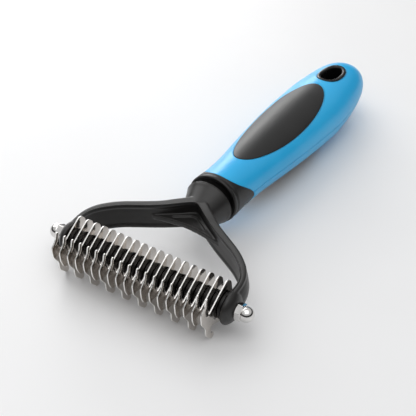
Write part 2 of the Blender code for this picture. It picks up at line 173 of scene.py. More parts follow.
def black_plastic(name, base, rough_lo, rough_hi, grain, depth, dust=0.0, spec=0.5):
    m, t, p = new_mat(name, base, (rough_lo + rough_hi) / 2)
    vec = coords(t)
    fine = noise(t, vec, grain, 3, 0.55)
    big = noise(t, vec, 55, 3, 0.5)
    lighter = tuple(c * (1.35 + dust) + dust * 0.004 for c in base)
    darker = tuple(c * 0.75 for c in base)
    t.links.new(ramp(t, big, [(0.3, darker), (0.72, lighter)]), p.inputs["Base Color"])
    mixed = maths(t, "ADD", maths(t, "MULTIPLY", fine, 0.5), maths(t, "MULTIPLY", big, 0.5))
    t.links.new(grey(t, mixed, rough_lo, rough_hi), p.inputs["Roughness"])
    p.inputs["Specular IOR Level"].default_value = spec
    bump(t, p, fine, depth, 0.4)
    return m


def blue_plastic():
    m, t, p = new_mat("shell_blue_plastic", (0.045, 0.36, 0.66), 0.34)
    vec = coords(t)
    big = noise(t, vec, 28, 3, 0.5)
    fine = noise(t, vec, 1500, 3, 0.6)
    peel = noise(t, vec, 260, 2, 0.5)
    t.links.new(ramp(t, big, [(0.3, (0.016, 0.43, 0.83)), (0.7, (0.024, 0.475, 0.88))]), p.inputs["Base Color"])
    t.links.new(grey(t, maths(t, "ADD", maths(t, "MULTIPLY", big, 0.5), maths(t, "MULTIPLY", fine, 0.5)), 0.30, 0.40),
                p.inputs["Roughness"])
    h = maths(t, "ADD", maths(t, "MULTIPLY", fine, 0.35), peel)
    bump(t, p, h, 0.00002, 0.35)
    p.inputs["Coat Weight"].default_value = 0.12
    p.inputs["Coat Roughness"].default_value = 0.18
    return m


STEEL = steel_face()
EDGE = steel_edge()
CHROME = chrome()
THREAD = turned_steel()
YOKE = black_plastic("yoke_satin_plastic", (0.0145, 0.0138, 0.0132), 0.30, 0.42, 2600, 0.00003)
SPACER = black_plastic("spacer_gloss_plastic", (0.0045, 0.0045, 0.0045), 0.22, 0.34, 1800, 0.00002, 0.0, 0.35)
SOFT = black_plastic("grip_soft_rubber", (0.0062, 0.0060, 0.0059), 0.37, 0.46, 3400, 0.00003, 0.2, 0.5)
COLLAR = black_plastic("collar_soft_rubber", (0.0075, 0.0070, 0.0068), 0.35, 0.45, 3400, 0.00003, 0.2, 0.45)
GLOSS = black_plastic("grommet_gloss_plastic", (0.005, 0.005, 0.005), 0.20, 0.30, 1500, 0.00001, 0.0, 0.4)
BLUE = blue_plastic()


# ------------------------------------------------------------------ meshes
def make(name, verts, faces, mats, at=None, smooth=True, flip=False):
    me = bpy.data.meshes.new(name)
    v = np.asarray(verts, float) * MM
    if at is not None:
        a = np.array(at)
        v = v @ a[:3, :3].T + a[:3, 3]
    me.from_pydata([tuple(p) for p in v], [], [tuple(f) for f in faces])
    for m in mats if isinstance(mats, (list, tuple)) else [mats]:
        me.materials.append(m)
    bm = bmesh.new()
    bm.from_mesh(me)
    bmesh.ops.remove_doubles(bm, verts=bm.verts, dist=2e-7)
    bmesh.ops.dissolve_degenerate(bm, edges=bm.edges, dist=1e-8)
    if flip is None:
        bmesh.ops.recalc_face_normals(bm, faces=bm.faces)
    elif flip:
        bmesh.ops.reverse_faces(bm, faces=bm.faces)
    bm.to_mesh(me)
    bm.free()
    for p in me.polygons:
        p.use_smooth = smooth
    ob = bpy.data.objects.new(name, me)
    bpy.context.scene.collection.objects.link(ob)
    return ob


def grid(rows, closed=False, start=0):
    """Quads between equal-count rows of points; returns points and faces."""
    pts, faces = [], []
    n = len(rows[0])
    for r in rows:
        pts.extend(r)
    for i in range(len(rows) - 1):
        for j in range(n if closed else n - 1):
            k = (j + 1) % n
            faces.append((start + i * n + j, start + i * n + k, start + (i + 1) * n + k, start + (i + 1) * n + j))
    return pts, faces


class Build:
    def __init__(self):
        self.v, self.f = [], []

    def add(self, rows, closed=False, flip=False):
        p, f = grid(rows, closed, len(self.v))
        if flip:
            f = [q[::-1] for q in f]
        self.v.extend(p)
        self.f.extend(f)


def lathe_rows(profile, n):
    """Rows round X for a profile of (x, r)."""
    w = np.linspace(0, 2 * math.pi, n, endpoint=False)
    return [[(x, r * math.cos(a), r * math.sin(a)) for a in w] for x, r in profile]


def rounded(corners, step=0.16):
    pts = []
    n = len(corners)
    for i in range(n):
        a, b, c = (Vector(corners[k % n][:2]) for k in (i - 1, i, i + 1))
        r = corners[i][2]
        d1, d2 = (a - b).normalized(), (c - b).normalized()
        half = math.acos(max(-1, min(1, d1.dot(d2)))) / 2
        t = min(r / math.tan(half), 0.49 * (a - b).length, 0.49 * (c - b).length)
        rr = t * math.tan(half)
        ctr = b + (d1 + d2).normalized() * (rr / math.sin(half))
        p1, p2 = b + d1 * t, b + d2 * t
        a1, a2 = math.atan2(p1.y - ctr.y, p1.x - ctr.x), math.atan2(p2.y - ctr.y, p2.x - ctr.x)
        da = (a2 - a1 + math.pi) % (2 * math.pi) - math.pi
        k = max(2, int(abs(da) / step) + 1)
        for j in range(k + 1):
            w = a1 + da * j / k
            pts.append((ctr.x + rr * math.cos(w), ctr.y + rr * math.sin(w)))
    return pts


def circle(r, n):
    return [(r * math.cos(2 * math.pi * i / n), r * math.sin(2 * math.pi * i / n)) for i in range(n)]


def pchip(x, y):
    x, y = np.asarray(x, float), np.asarray(y, float)
    h, d = np.diff(x), np.diff(y) / np.diff(x)
    m = np.zeros(len(x))
    m[0], m[-1] = d[0], d[-1]
    for i in range(1, len(x) - 1):
        if d[i - 1] * d[i] > 0:
            w1, w2 = 2 * h[i] + h[i - 1], h[i] + 2 * h[i - 1]
            m[i] = (w1 + w2) / (w1 / d[i - 1] + w2 / d[i])

    def f(q):
        q = np.asarray(q, float)
        i = np.clip(np.searchsorted(x, q) - 1, 0, len(x) - 2)
        t = (q - x[i]) / h[i]
        t = np.clip(t, 0, 1)
        return ((2 * t**3 - 3 * t**2 + 1) * y[i] + (t**3 - 2 * t**2 + t) * h[i] * m[i]
                + (-2 * t**3 + 3 * t**2) * y[i + 1] + (t**3 - t**2) * h[i] * m[i + 1])
    return f


def spline(pts, n, closed=False):
    """Catmull-Rom through pts, n samples spaced evenly by length."""
    p = np.asarray(pts, float)
    if closed:
        q = np.vstack([p[-1], p, p[0], p[1]])
    else:
        q = np.vstack([2 * p[0] - p[1], p, 2 * p[-1] - p[-2]])
    out = []
    for i in range(1, len(q) - 2):
        for t in np.linspace(0, 1, 24, endpoint=False):
            a, b, c, d = q[i - 1], q[i], q[i + 1], q[i + 2]
            out.append(0.5 * ((2 * b) + (c - a) * t + (2 * a - 5 * b + 4 * c - d) * t**2
                              + (3 * b - a - 3 * c + d) * t**3))
    if not closed:
        out.append(q[-2])
    else:
        out.append(out[0])
    out = np.array(out)
    s = np.concatenate([[0], np.cumsum(np.linalg.norm(np.diff(out[:, :3], axis=0), axis=1))])
    g = np.linspace(0, s[-1], n, endpoint=not closed)
    return np.stack([np.interp(g, s, out[:, k]) for k in range(out.shape[1])], 1)


def tube(path, r, n=10, closed=False):
    """Rows of a round bead along path (mm)."""
    p = np.asarray(path, float)
    if closed:
        tan = np.roll(p, -1, 0) - np.roll(p, 1, 0)
    else:
        tan = np.gradient(p, axis=0)
    tan /= np.linalg.norm(tan, axis=1, keepdims=True)
    up = np.array([0, 0, 1.0])
    rows = []
    rad = np.broadcast_to(np.asarray(r, float), (len(p),))
    for c, t, q in zip(p, tan, rad):
        a = np.cross(up, t)
        if np.linalg.norm(a) < 1e-3:
            a = np.cross((1.0, 0, 0), t)
        a /= np.linalg.norm(a)
        b = np.cross(t, a)
        rows.append([tuple(c + q * (math.cos(w) * a + math.sin(w) * b)) for w in
                     np.linspace(0, 2 * math.pi, n, endpoint=False)])
    if closed:
        rows.append(rows[0])
    return rows


# ------------------------------------------------------------------ blades
FIN = [(-11.3, 4.2, 0.8), (-3.2, 8.4, 14.0), (3.6, 11.5, 2.6), (6.4, 8.2, 4.0), (7.1, 0.0, 9.0)]
BACK = [(7.1, -4.8, 5.0), (2.4, -7.6, 4.5)]
SPIKE = [(-16.9, 8.6, 2.6), (-13.7, 11.2, 3.0), (-12.7, 14.6, 0.5), (-11.4, 14.3, 0.5), (-12.0, 8.0, 6.0)]
HOOKED = [(-4.2, -6.5, 4.0), (-10.0, -2.9, 1.3), (-10.1, -8.05, 0.75), (-8.5, -8.05, 0.6), (-8.15, -10.95, 0.95),
          (-10.3, -10.95, 1.6), (-14.0, -6.0, 4.0), (-13.9, -1.6, 3.0), (-16.6, 3.2, 5.0)]
PLAIN = [(-4.2, -6.5, 4.0), (-10.5, -3.2, 3.0), (-15.4, -1.0, 3.2), (-16.8, 3.4, 4.0)]
EASE = 0.09           # rolled edge of the stamped sheet


def offset_ring(ring, d):
    """Ring moved by d along its outward normals (ring runs anticlockwise)."""
    out = []
    n = len(ring)
    for i in range(n):
        a, b, c = (Vector(ring[k % n]) for k in (i - 1, i, i + 1))
        e1, e2 = (b - a).normalized(), (c - b).normalized()
        nn = Vector((e1.y + e2.y, -e1.x - e2.x))
        nn.normalize()
        k = max(0.5, nn.dot(Vector((e1.y, -e1.x))))
        out.append(tuple(b + nn * (d / k)))
    return out


def thin_out(ring, least):
    out = [ring[0]]
    for p in ring[1:]:
        if (Vector(p) - Vector(out[-1])).length > least:
            out.append(p)
    if (Vector(out[-1]) - Vector(out[0])).length < least:
        out.pop()
    return out


def blade_mesh(hooked, t):
    outline = thin_out(rounded(FIN + BACK + (HOOKED if hooked else PLAIN) + SPIKE), 0.04)
    area2 = sum(p[0] * q[1] - q[0] * p[1] for p, q in zip(outline, outline[1:] + outline[:1]))
    if area2 < 0:
        outline.reverse()
    bore = circle(2.3, 40)[::-1]
    rings = [(outline, offset_ring(outline, -EASE)), (bore, offset_ring(bore, -EASE))]
    cu = bpy.data.curves.new("blade_outline", "CURVE")
    cu.dimensions = "2D"
    cu.fill_mode = "BOTH"
    for outer, inset in rings:
        sp = cu.splines.new("POLY")
        sp.points.add(len(inset) - 1)
        for p, (u, w) in zip(sp.points, inset):
            p.co = (u * MM, w * MM, 0, 1)
        sp.use_cyclic_u = True
    ob = bpy.data.objects.new("blade_outline", cu)
    bpy.context.scene.collection.objects.link(ob)
    bpy.context.view_layer.update()
    flat = bpy.data.meshes.new_from_object(ob.evaluated_get(bpy.context.evaluated_depsgraph_get()))
    bpy.data.objects.remove(ob)
    bpy.data.curves.remove(cu)
    bm = bmesh.new()
    for x in (t / 2, -t / 2):
        part = bmesh.new()
        part.from_mesh(flat)
        bmesh.ops.transform(part, matrix=Matrix.Translation((0, 0, x * MM)), verts=part.verts)
        if x < 0:
            bmesh.ops.reverse_faces(part, faces=part.faces)
        tmp = bpy.data.meshes.new("tmp")
        part.to_mesh(tmp)
        part.free()
        bm.from_mesh(tmp)
        bpy.data.meshes.remove(tmp)
    for outer, inset in rings:
        rows = []
        for k in range(4):
            a = k / 3 * math.pi / 2
            rows.append((math.sin(a), t / 2 - EASE + EASE * math.cos(a)))
        rows += [(q, -z) for q, z in rows[::-1]]
        loops = [[bm.verts.new(((i[0] + (o[0] - i[0]) * q) * MM, (i[1] + (o[1] - i[1]) * q) * MM, z * MM))
                  for o, i in zip(outer, inset)] for q, z in rows]
        n = len(outer)
        for p, q in zip(loops, loops[1:]):
            for i in range(n):
                j = (i + 1) % n
                bm.faces.new((p[j], p[i], q[i], q[j]))
    bmesh.ops.remove_doubles(bm, verts=bm.verts, dist=2e-6)
    bmesh.ops.transform(bm, matrix=Matrix(((0, 0, 1, 0), (1, 0, 0, 0), (0, 1, 0, 0), (0, 0, 0, 1))), verts=bm.verts)
    bmesh.ops.recalc_face_normals(bm, faces=bm.faces)
    me = bpy.data.meshes.new("blade")
    bm.to_mesh(me)
    bm.free()
    return me


names = sorted(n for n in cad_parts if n.startswith("blade_"))
patterns = {}
for i, name in enumerate(names):
    lo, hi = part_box(name)
    x = (lo.x + hi.x) / 2
    hooked = lo.z < 0.002
    if hooked not in patterns:
        patterns[hooked] = blade_mesh(hooked, (hi.x - lo.x) / MM)
    me = patterns[hooked].copy()
    me.transform(HEAD @ Matrix.Translation((x, 0, 0)))
    me.materials.clear()
    me.materials.append(STEEL)
    me.materials.append(EDGE)
    for p in me.polygons:
        p.use_smooth = True
        p.material_index = 0 if abs(p.normal.x) > 0.93 else 1
    me.set_sharp_from_angle(angle=math.radians(40))
    ob = bpy.data.objects.new("comb_" + name, me)
    bpy.context.scene.collection.objects.link(ob)
    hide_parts(name)
    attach(ob, "root")

# ------------------------------------------------------------------ spacers
for name in sorted(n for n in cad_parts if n.startswith("spacer_") or n.startswith("end_spacer")):
    lo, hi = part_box(name)
    c, h = (lo.x + hi.x) / 2 / MM, (hi.x - lo.x) / 2 / MM
    big = name.startswith("end")
    r = 6.3 if big else 4.95
    e = 0.55 if big else 0.42
    prof = [(-h, 2.3), (-h, r - e - 0.1)]
    prof += [(-h + e * (1 - math.cos(a)), r - e - 0.06 + e * math.sin(a)) for a in np.linspace(0.15, 1.57, 6)]
    prof += [(-h * 0.35, r - 0.015), (0, r), (h * 0.35, r - 0.015)]
    prof += [(h - e * (1 - math.cos(a)), r - e - 0.06 + e * math.sin(a)) for a in np.linspace(1.57, 0.15, 6)]
    prof += [(h, r - e - 0.1), (h, 2.3), (-h, 2.3)]
    b = Build()
    b.add(lathe_rows(prof, 56), True)
    ob = make("sleeve_" + name, b.v, b.f, SPACER, HEAD @ Matrix.Translation((c * MM, 0, 0)), flip=None)
    ob.data.set_sharp_from_angle(angle=math.radians(50))
    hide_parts(name)
    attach(ob, "root")

# ------------------------------------------------------------------ cap nuts
AF, HEX_L = 7.0, 2.8


def cap_nut(node, body, s):
    lo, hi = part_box(node)
    start = min(abs(lo.x), abs(hi.x)) / MM
    tip = max(abs(lo.x), abs(hi.x)) / MM
    end = start + HEX_L
    corners = [(AF / math.sqrt(3) * math.cos(math.radians(30 + 60 * k)),
                AF / math.sqrt(3) * math.sin(math.radians(30 + 60 * k)), 0.35) for k in range(6)]
    ring = rounded(corners, 0.2)
    fine = []
    for k in range(len(ring)):
        a, b2 = Vector(ring[k]), Vector(ring[(k + 1) % len(ring)])
        m = max(1, int((b2 - a).length / 0.3))
        fine += [a.lerp(b2, j / m) for j in range(m)]
    rad = [p.length for p in fine]
    top = min(rad)

    def loop(scale, x_of):
        out = []
        for p, r in zip(fine, rad):
            q = scale(r)
            out.append((x_of(q), p.x / r * q, p.y / r * q))
        return out

    rows = [loop(lambda r: 2.3, lambda q: start + 0.3), loop(lambda r: 2.7, lambda q: start)]
    rows += [loop(lambda r: 3.2, lambda q: start)]
    for f in (0.0, 0.5, 0.9, 1.0):
        rows.append(loop(lambda r, f=f: top - 0.05 + (r - top) * f, lambda q: start + max(0, q - top + 0.1) * 0.5))
    for f in (1.0, 0.9, 0.5, 0.0):
        rows.append(loop(lambda r, f=f: top - 0.05 + (r - top) * f, lambda q: end - max(0, q - top + 0.1) * 0.62))
    rows.append(loop(lambda r: 3.35, lambda q: end))
    rows.append(loop(lambda r: 2.3, lambda q: end))
    b = Build()
    b.add(rows, True)
    R = 3.43
    base = tip - R
    prof = [(end - 0.5, 2.3), (end - 0.5, 3.2), (end + 0.0, 3.24), (end + 0.2, 3.3), (end + 0.4, R - 0.03), (end + 0.6, R)]
    prof += [(base + R * math.sin(a), R * math.cos(a)) for a in np.linspace(0, math.pi / 2 - 0.002, 22)]
    b.add(lathe_rows(prof, 72), True)
    at = HEAD if s > 0 else HEAD @ Matrix.Rotation(math.pi, 4, "Z")
    ob = make("dome_" + node, b.v, b.f, CHROME, at, flip=None)
    ob.data.set_sharp_from_angle(angle=math.radians(32))
    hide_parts(node)
    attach(ob, body)


cap_nut("cap_nut_right", "nut_right_body", 1)
cap_nut("cap_nut_left", "nut_left_body", -1)

# ------------------------------------------------------------------ yoke
# inner wall x, y, outer flange x, y, top height, bulge of the outer wall
ARM = [(0.0, 38.4, 1.6, 42.4, 8.2, 0.0), (2.4, 37.3, 4.6, 40.6, 8.2, 0.1), (5.2, 35.2, 7.5, 38.3, 8.1, 0.2),
       (8.6, 32.9, 10.7, 36.0, 7.8, 0.4), (12.4, 30.5, 14.2, 33.5, 7.4, 0.6), (17.4, 27.6, 18.9, 30.7, 7.1, 0.7),
       (22.7, 24.7, 24.2, 27.7, 7.0, 0.7), (27.8, 21.8, 29.4, 24.6, 7.0, 0.7), (32.0, 18.7, 33.9, 21.2, 7.0, 0.7),
       (35.6, 15.2, 37.8, 17.2, 7.0, 0.8), (38.2, 11.4, 40.4, 12.6, 7.0, 1.3), (39.4, 7.2, 41.5, 8.0, 7.0, 1.8),
       (39.6, 3.0, 41.6, 3.4, 7.1, 1.9), (39.5, -1.0, 41.5, -1.0, 7.2, 1.9)]


def arm_rows(sign, n=90):
    st = spline(ARM, n)
    rows = []
    for xi, yi, xo, yo, top, bulge in st:
        w = math.hypot(xo - xi, yo - yi)
        ux, uy = (xo - xi) / w, (yo - yi) / w
        sec = [(0.0, top - 0.4), (0.35, top), (w - 0.5, top - 0.05), (w, top - 0.55), (w, top - 1.7),
               (w + bulge * 0.35, 4.2), (w + bulge * 0.8, 2.0), (w + bulge, 0.0), (w + bulge * 0.8, -2.4),
               (w + bulge * 0.45, -4.2), (w, -5.2), (w, -6.4), (w - 0.5, -7.0), (0.35, -7.0), (0.0, -6.6),
               (0.0, -5.2), (0.45, -4.6), (0.55, 0), (0.45, top - 2.4), (0.0, top - 1.8)]
        rows.append([(sign * (xi + ux * d), yi + uy * d, z) for d, z in sec])
    return rows


def solid(rows):
    """Closed tube of rows with capped ends, as (points, faces)."""
    p, f = grid(rows, True)
    n = len(rows[0])
    f.append(tuple(range(n))[::-1])
    f.append(tuple((len(rows) - 1) * n + k for k in range(n)))
    return p, f


def spin(profile, n, along="Y"):
    """Closed lathe of (along, r) round Y or X."""
    p, f = [], []
    rows = []
    for a, r in profile:
        row = []
        for k in range(n):
            w = 2 * math.pi * k / n
            c, s = r * math.cos(w), r * math.sin(w)
            row.append((s, a, c) if along == "Y" else (a, c, s))
        rows.append(row)
    return solid(rows)


def prism(outline, z0, z1):
    n = len(outline)
    p = [(x, y, z0) for x, y in outline] + [(x, y, z1) for x, y in outline]
    f = [tuple(range(n))[::-1], tuple(range(n, 2 * n))]
    f += [(k, (k + 1) % n, n + (k + 1) % n, n + k) for k in range(n)]
    return p, f


pieces = [solid(arm_rows(1)), solid(arm_rows(-1))]
pieces.append(spin([(38.8, 5.0), (38.8, 8.2), (40.2, 8.55), (41.6, 8.95), (43.2, 9.5), (45.0, 10.15), (46.6, 10.75),
                    (47.4, 11.15), (48.0, 11.45), (48.7, 11.5), (49.0, 11.3), (49.0, 5.0)], 96))
web_front = [(-16.8, 28.3), (-14.6, 28.5), (-12.0, 29.0), (-8.5, 29.6), (-4.5, 30.1), (0.0, 30.3), (4.5, 30.1),
             (8.5, 29.6), (12.0, 29.0), (14.6, 28.5), (16.8, 28.3)]
front = [tuple(p) for p in spline([(x, y, 0) for x, y in web_front], 60)[:, :2]]
pieces.append(prism(front + [(10.0, 34.0), (3.0, 39.5), (-3.0, 39.5), (-10.0, 34.0)], -1.4, 1.4))
for s in (1, -1):
    prof = [(39.3, 0.3), (39.3, 6.9), (39.55, 7.4), (40.1, 7.65), (40.9, 7.6), (41.6, 7.1), (42.4, 6.3), (43.0, 5.4),
            (43.4, 4.6), (43.6, 4.2), (43.6, 0.3)]
    pieces.append(spin([(s * a, r) for a, r in prof], 72, "X"))
V, F = [], []
for p, f in pieces:
    F += [tuple(k + len(V) for k in q) for q in f]
    V += p
raw = bpy.data.meshes.new("yoke_raw")
raw.from_pydata([tuple(c * MM for c in p) for p in V], [], F)
bm = bmesh.new()
bm.from_mesh(raw)
bmesh.ops.recalc_face_normals(bm, faces=bm.faces)
bmesh.ops.triangulate(bm, faces=[f for f in bm.faces if len(f.verts) > 4])
bm.to_mesh(raw)
bm.free()
# recess in the web, both faces, cut before the remesh
tri = rounded([(-11.0, 30.4, 0.8), (0.0, 31.4, 60.0), (11.0, 30.4, 0.8), (1.5, 36.4, 1.3), (-1.5, 36.4, 1.3)], 0.3)
yoke_tmp = bpy.data.objects.new("yoke_tmp", raw)
bpy.context.scene.collection.objects.link(yoke_tmp)
rm = yoke_tmp.modifiers.new("skin", "REMESH")
rm.mode = "VOXEL"
rm.voxel_size = 0.28 * MM
rm.use_smooth_shade = True
cutters = []
for z0, z1 in ((0.7, 2.4), (-2.4, -0.7)):
    p, f = prism(tri, z0, z1)
    c = make("web_cut", p, f, YOKE, flip=None)
    cutters.append(c)
    bo = yoke_tmp.modifiers.new("cut", "BOOLEAN")
    bo.operation = "DIFFERENCE"
    bo.solver = "FAST" if False else "EXACT"
    bo.object = c
rm2 = yoke_tmp.modifiers.new("skin2", "REMESH")
rm2.mode = "VOXEL"
rm2.voxel_size = 0.27 * MM
sm = yoke_tmp.modifiers.new("soften", "SMOOTH")
sm.factor = 0.5
sm.iterations = 7
bpy.context.view_layer.update()
me = bpy.data.meshes.new_from_object(yoke_tmp.evaluated_get(bpy.context.evaluated_depsgraph_get()))
for c in cutters + [yoke_tmp]:
    bpy.data.objects.remove(c)

# beads: inner rim of the flange, rim of the neck
b = Build()
rim = [(s[0], s[1], s[4]) for s in spline(ARM, 120)]
left = [(-x, y, z) for x, y, z in rim]
path = spline(np.array(left[::-1] + rim[1:])[:, :3], 260)
path[:, 2] -= 0.12
for _ in range(6):
    path[1:-1] = (path[:-2] + 2 * path[1:-1] + path[2:]) / 4
path = path + np.array([0, 0.25, 0])
b.add(tube(path, 0.36, 10), True)
ringp = [(11.28 * math.sin(a), 48.55, 11.28 * math.cos(a)) for a in np.linspace(0, 2 * math.pi, 120, endpoint=False)]
b.add(tube(ringp, 0.34, 10, True), True)
beads = make("beads", b.v, b.f, YOKE, flip=None)
bm = bmesh.new()
bm.from_mesh(me)
bm.from_mesh(beads.data)
# stem in the gap between neck and collar
bend = Matrix.Translation((0, 47.0 * MM, 0)) @ Matrix.Rotation(-TILT, 4, "X")
p, f = spin([(0, 6.35), (12, 6.35)], 48)
stem = make("stem", p, f, YOKE, bend, flip=None)
bm.from_mesh(stem.data)
bmesh.ops.transform(bm, matrix=HEAD, verts=bm.verts)
yme = bpy.data.meshes.new("yoke_moulding")
bm.to_mesh(yme)
bm.free()
for o in (beads, stem):
    bpy.data.objects.remove(o)
yme.materials.append(YOKE)
for p in yme.polygons:
    p.use_smooth = True
    p.material_index = 0
yoke = bpy.data.objects.new("yoke_moulding", yme)
bpy.context.scene.collection.objects.link(yoke)
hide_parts("yoke")
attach(yoke, "root")

# ------------------------------------------------------------------ handle
ST = np.array([(50.6, 11.9, 11.6, 18.2), (51.6, 12.3, 12, 18.2), (53, 12.3, 12, 18.1), (57, 12.2, 11.6, 17.9),
               (64, 12.1, 11.2, 17.6), (74, 12.5, 11.2, 17.2), (86, 13.6, 11.9, 16.9), (98, 14.8, 12.7, 16.5),
               (110, 15.8, 13.4, 16.1), (122, 16.6, 14, 15.6), (134, 17.2, 14.4, 15.1), (146, 17.4, 14.5, 14.5),
               (156, 17, 14.2, 14.6), (165, 16.1, 13.4, 14.8), (173, 14.9, 12.4, 15.2), (179, 13.6, 11.3, 15.6),
               (184, 11.9, 9.8, 15.9), (188, 9.7, 7.9, 16.1), (191, 7.1, 5.7, 16.2), (192.8, 4.4, 3.4, 16.3),
               (193.4, 0.05, 0.05, 16.3)])
w2f, h2f = pchip(ST[:, 0], ST[:, 1] ** 2), pchip(ST[:, 0], ST[:, 2] ** 2)
zf = pchip(ST[:, 0], ST[:, 3])
Wf = lambda y: np.sqrt(np.maximum(w2f(y), 1e-4))
Hf = lambda y: np.sqrt(np.maximum(h2f(y), 1e-4))


def surf(phi, y, depth=0.0):
    """Point of the handle skin at section angle phi and station y, sunk by depth along the normal."""
    phi, y = np.broadcast_arrays(np.asarray(phi, float), np.asarray(y, float))
    w, h, zc = Wf(y), Hf(y), zf(y)
    c, s = np.cos(phi), np.sin(phi)
    p = np.stack([w * c, BY + y, zc + h * s], -1)
    e = 0.05
    y2, y1 = np.minimum(y + e, 193.4), np.maximum(y - e, 50.6)
    ty = np.stack([(Wf(y2) - Wf(y1)) * c, y2 - y1, (zf(y2) - zf(y1)) + (Hf(y2) - Hf(y1)) * s], -1)
    tp = np.stack([-w * s, np.zeros_like(w), h * c], -1)
    n = np.cross(ty, tp)
    n /= np.maximum(np.linalg.norm(n, axis=-1, keepdims=True), 1e-9)
    n *= np.sign((n * np.stack([c, 0 * c, s], -1)).sum(-1, keepdims=True) + 1e-12)
    return p - n * np.asarray(depth, float)[..., None]


def skin_at(x, y, side, depth=0.0):
    """Skin point over plan position x, y on the top (side 1) or underside (-1)."""
    x, y = np.asarray(x, float), np.asarray(y, float)
    phi = np.arccos(np.clip(x / Wf(y), -1, 1)) * side
    return surf(phi, y, depth)


seam_top = pchip([-14, 0, 11.2, 22.5, 34, 45.2, 58.5, 72.8, 90], [68.7, 67.4, 65.4, 62.9, 60.1, 57.8, 55.9, 54.8, 54.5])


def seam(phi):
    d = np.degrees(np.arcsin(np.clip(np.sin(phi), -1, 1)))      # -90 to 90 on both flanks
    low = -14 + (-14 - d) * 104 / 76
    return seam_top(np.where(d >= -14, d, low))


IC, IA, IW = 112.3, 39.7, 11.8
g_lo, g_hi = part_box("hang_grommet")
HC = (g_lo.y + g_hi.y) / 2 / MM - BY
HA, HB = (g_hi.x - g_lo.x) / 2 / MM, (g_hi.y - g_lo.y) / 2 / MM


def inlay_loop(w, grow):
    s, c = np.sin(w), np.cos(w)
    return (IW + grow) * c * (1 + 0.10 * s), IC + (IA + grow) * s


def hole_loop(w, grow, a=None, b=None, power=2.3):
    a, b = (HA if a is None else a) + grow, (HB if b is None else b) + grow
    s, c = np.sin(w), np.cos(w)
    return a * np.sign(c) * np.abs(c) ** (2 / power), HC + b * np.sign(s) * np.abs(s) ** (2 / power)


ROLL = 0.22
arc = [(ROLL * (1 - math.sin(a)), ROLL * (1 - math.cos(a))) for a in np.linspace(0, math.pi / 2, 5)]


def shell(name, node, side, mat):
    b = Build()
    N = 44
    PG = 0.02                                   # half of the parting gap
    for sx in (1, -1):
        rows = []

        def row(y, phi_in):
            """From the parting edge up to phi_in, at station(s) y."""
            ph0 = min((PG + 0.06) / float(Hf(np.mean(y))), math.pi / 2 - 0.02)
            t = np.linspace(0, 1, N)
            ph = ph0 + (phi_in - ph0) * t
            return ph, np.broadcast_to(y, ph.shape)

        # from the seam to the start of the grip oval
        y_a = IC - IA - 0.12 - ROLL - 0.9
        for k in np.linspace(0, 1, 26):
            ph, _ = row(70.0, math.pi / 2)
            ys = seam(ph * side) + 0.12 + ROLL
            rows.append((ph, ys + (y_a - ys) * k))
        for w in np.radians(np.linspace(-90, 90, 81)):
            x, y = inlay_loop(w, 0.12 + ROLL)
            rows.append(row(y, math.acos(min(1, max(0.0, x) / float(Wf(y))))))
        y_b, y_c = IC + IA + 0.12 + ROLL, HC - HB - 0.1 - ROLL
        for y in np.linspace(y_b, y_c, 9)[1:-1]:
            rows.append(row(y, math.pi / 2))
        for w in np.radians(np.linspace(-90, 90, 61)):
            x, y = hole_loop(w, 0.1 + ROLL)
            rows.append(row(float(y), math.acos(min(1, max(0.0, float(x)) / float(Wf(y))))))
        y_d = HC + HB + 0.1 + ROLL
        for k in np.linspace(0, 1, 34)[1:]:
            y = y_d + (193.3998 - y_d) * math.sin(k * math.pi / 2)
            rows.append(row(y, math.pi / 2))
        pts = []
        for ph, y in rows:
            q = surf(ph * side, y)
            q[:, 0] *= sx
            pts.append([tuple(c) for c in q])
        b.add(pts, flip=(sx * side > 0))
        # rolled parting edge
        par = []
        for g, d in [(0.06, 0.0), (0.035, 0.008), (0.012, 0.028), (0.0, 0.06), (0.0, 0.9)]:
            line = []
            for ph, y in rows:
                yy = float(y[0])
                q = surf(min((PG + g) / float(Hf(yy)), math.pi / 2) * side, yy, min(d, 0.45 * float(Hf(yy))))
                line.append((sx * q[0], q[1], q[2]))
            par.append(line)
        b.add(par, flip=(sx * side < 0))
        # rolled seam edge
        sm_rows = []
        ph, _ = row(70.0, math.pi / 2)
        for g, d in arc + [(0.0, 1.2)]:
            q = surf(ph * side, seam(ph * side) + 0.12 + g, d)
            q[:, 0] *= sx
            sm_rows.append([tuple(c) for c in q])
        b.add(sm_rows, flip=(sx * side < 0))
    # rolled lips of the two openings
    for fn, gap in ((inlay_loop, 0.12), (hole_loop, 0.10)):
        if fn is inlay_loop:
            w = np.radians(np.concatenate([np.linspace(-90, 90, 81), np.linspace(90, 270, 81)[1:-1]]))
        else:
            w = np.radians(np.concatenate([np.linspace(-90, 90, 61), np.linspace(90, 270, 61)[1:-1]]))
        lip = []
        for g, d in arc + [(0.0, 1.3)]:
            x, y = fn(w, gap + g)
            q = skin_at(x, y, side, d)
            lip.append([tuple(c) for c in q])
        b.add(lip, True, flip=(side > 0))
    ob = make(name, b.v, b.f, mat)
    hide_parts(node)
    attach(ob, "root")
    return ob


shell("shell_top_moulding", "handle_shell_top", 1, BLUE)
shell("shell_bottom_moulding", "handle_shell_bottom", -1, BLUE)


def inlay(name, node, side):
    b = Build()
    w = np.radians(np.linspace(0, 360, 160, endpoint=False))
    rows = []
    for rho in np.concatenate([[0.002], np.linspace(0.04, 1, 34)]):
        x, y = inlay_loop(w, -ROLL)
        x, y = x * rho, IC + (y - IC) * rho
        rows.append([tuple(c) for c in skin_at(x, y, side, -0.10 - 0.10 * (1 - rho**2))])
    for g, d in arc[1:] + [(0.0, 1.3)]:
        x, y = inlay_loop(w, -g)
        rows.append([tuple(c) for c in skin_at(x, y, side, d - 0.10)])
    b.add(rows, True, flip=(side < 0))
    ob = make(name, b.v, b.f, SOFT)
    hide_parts(node)
    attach(ob, "root")


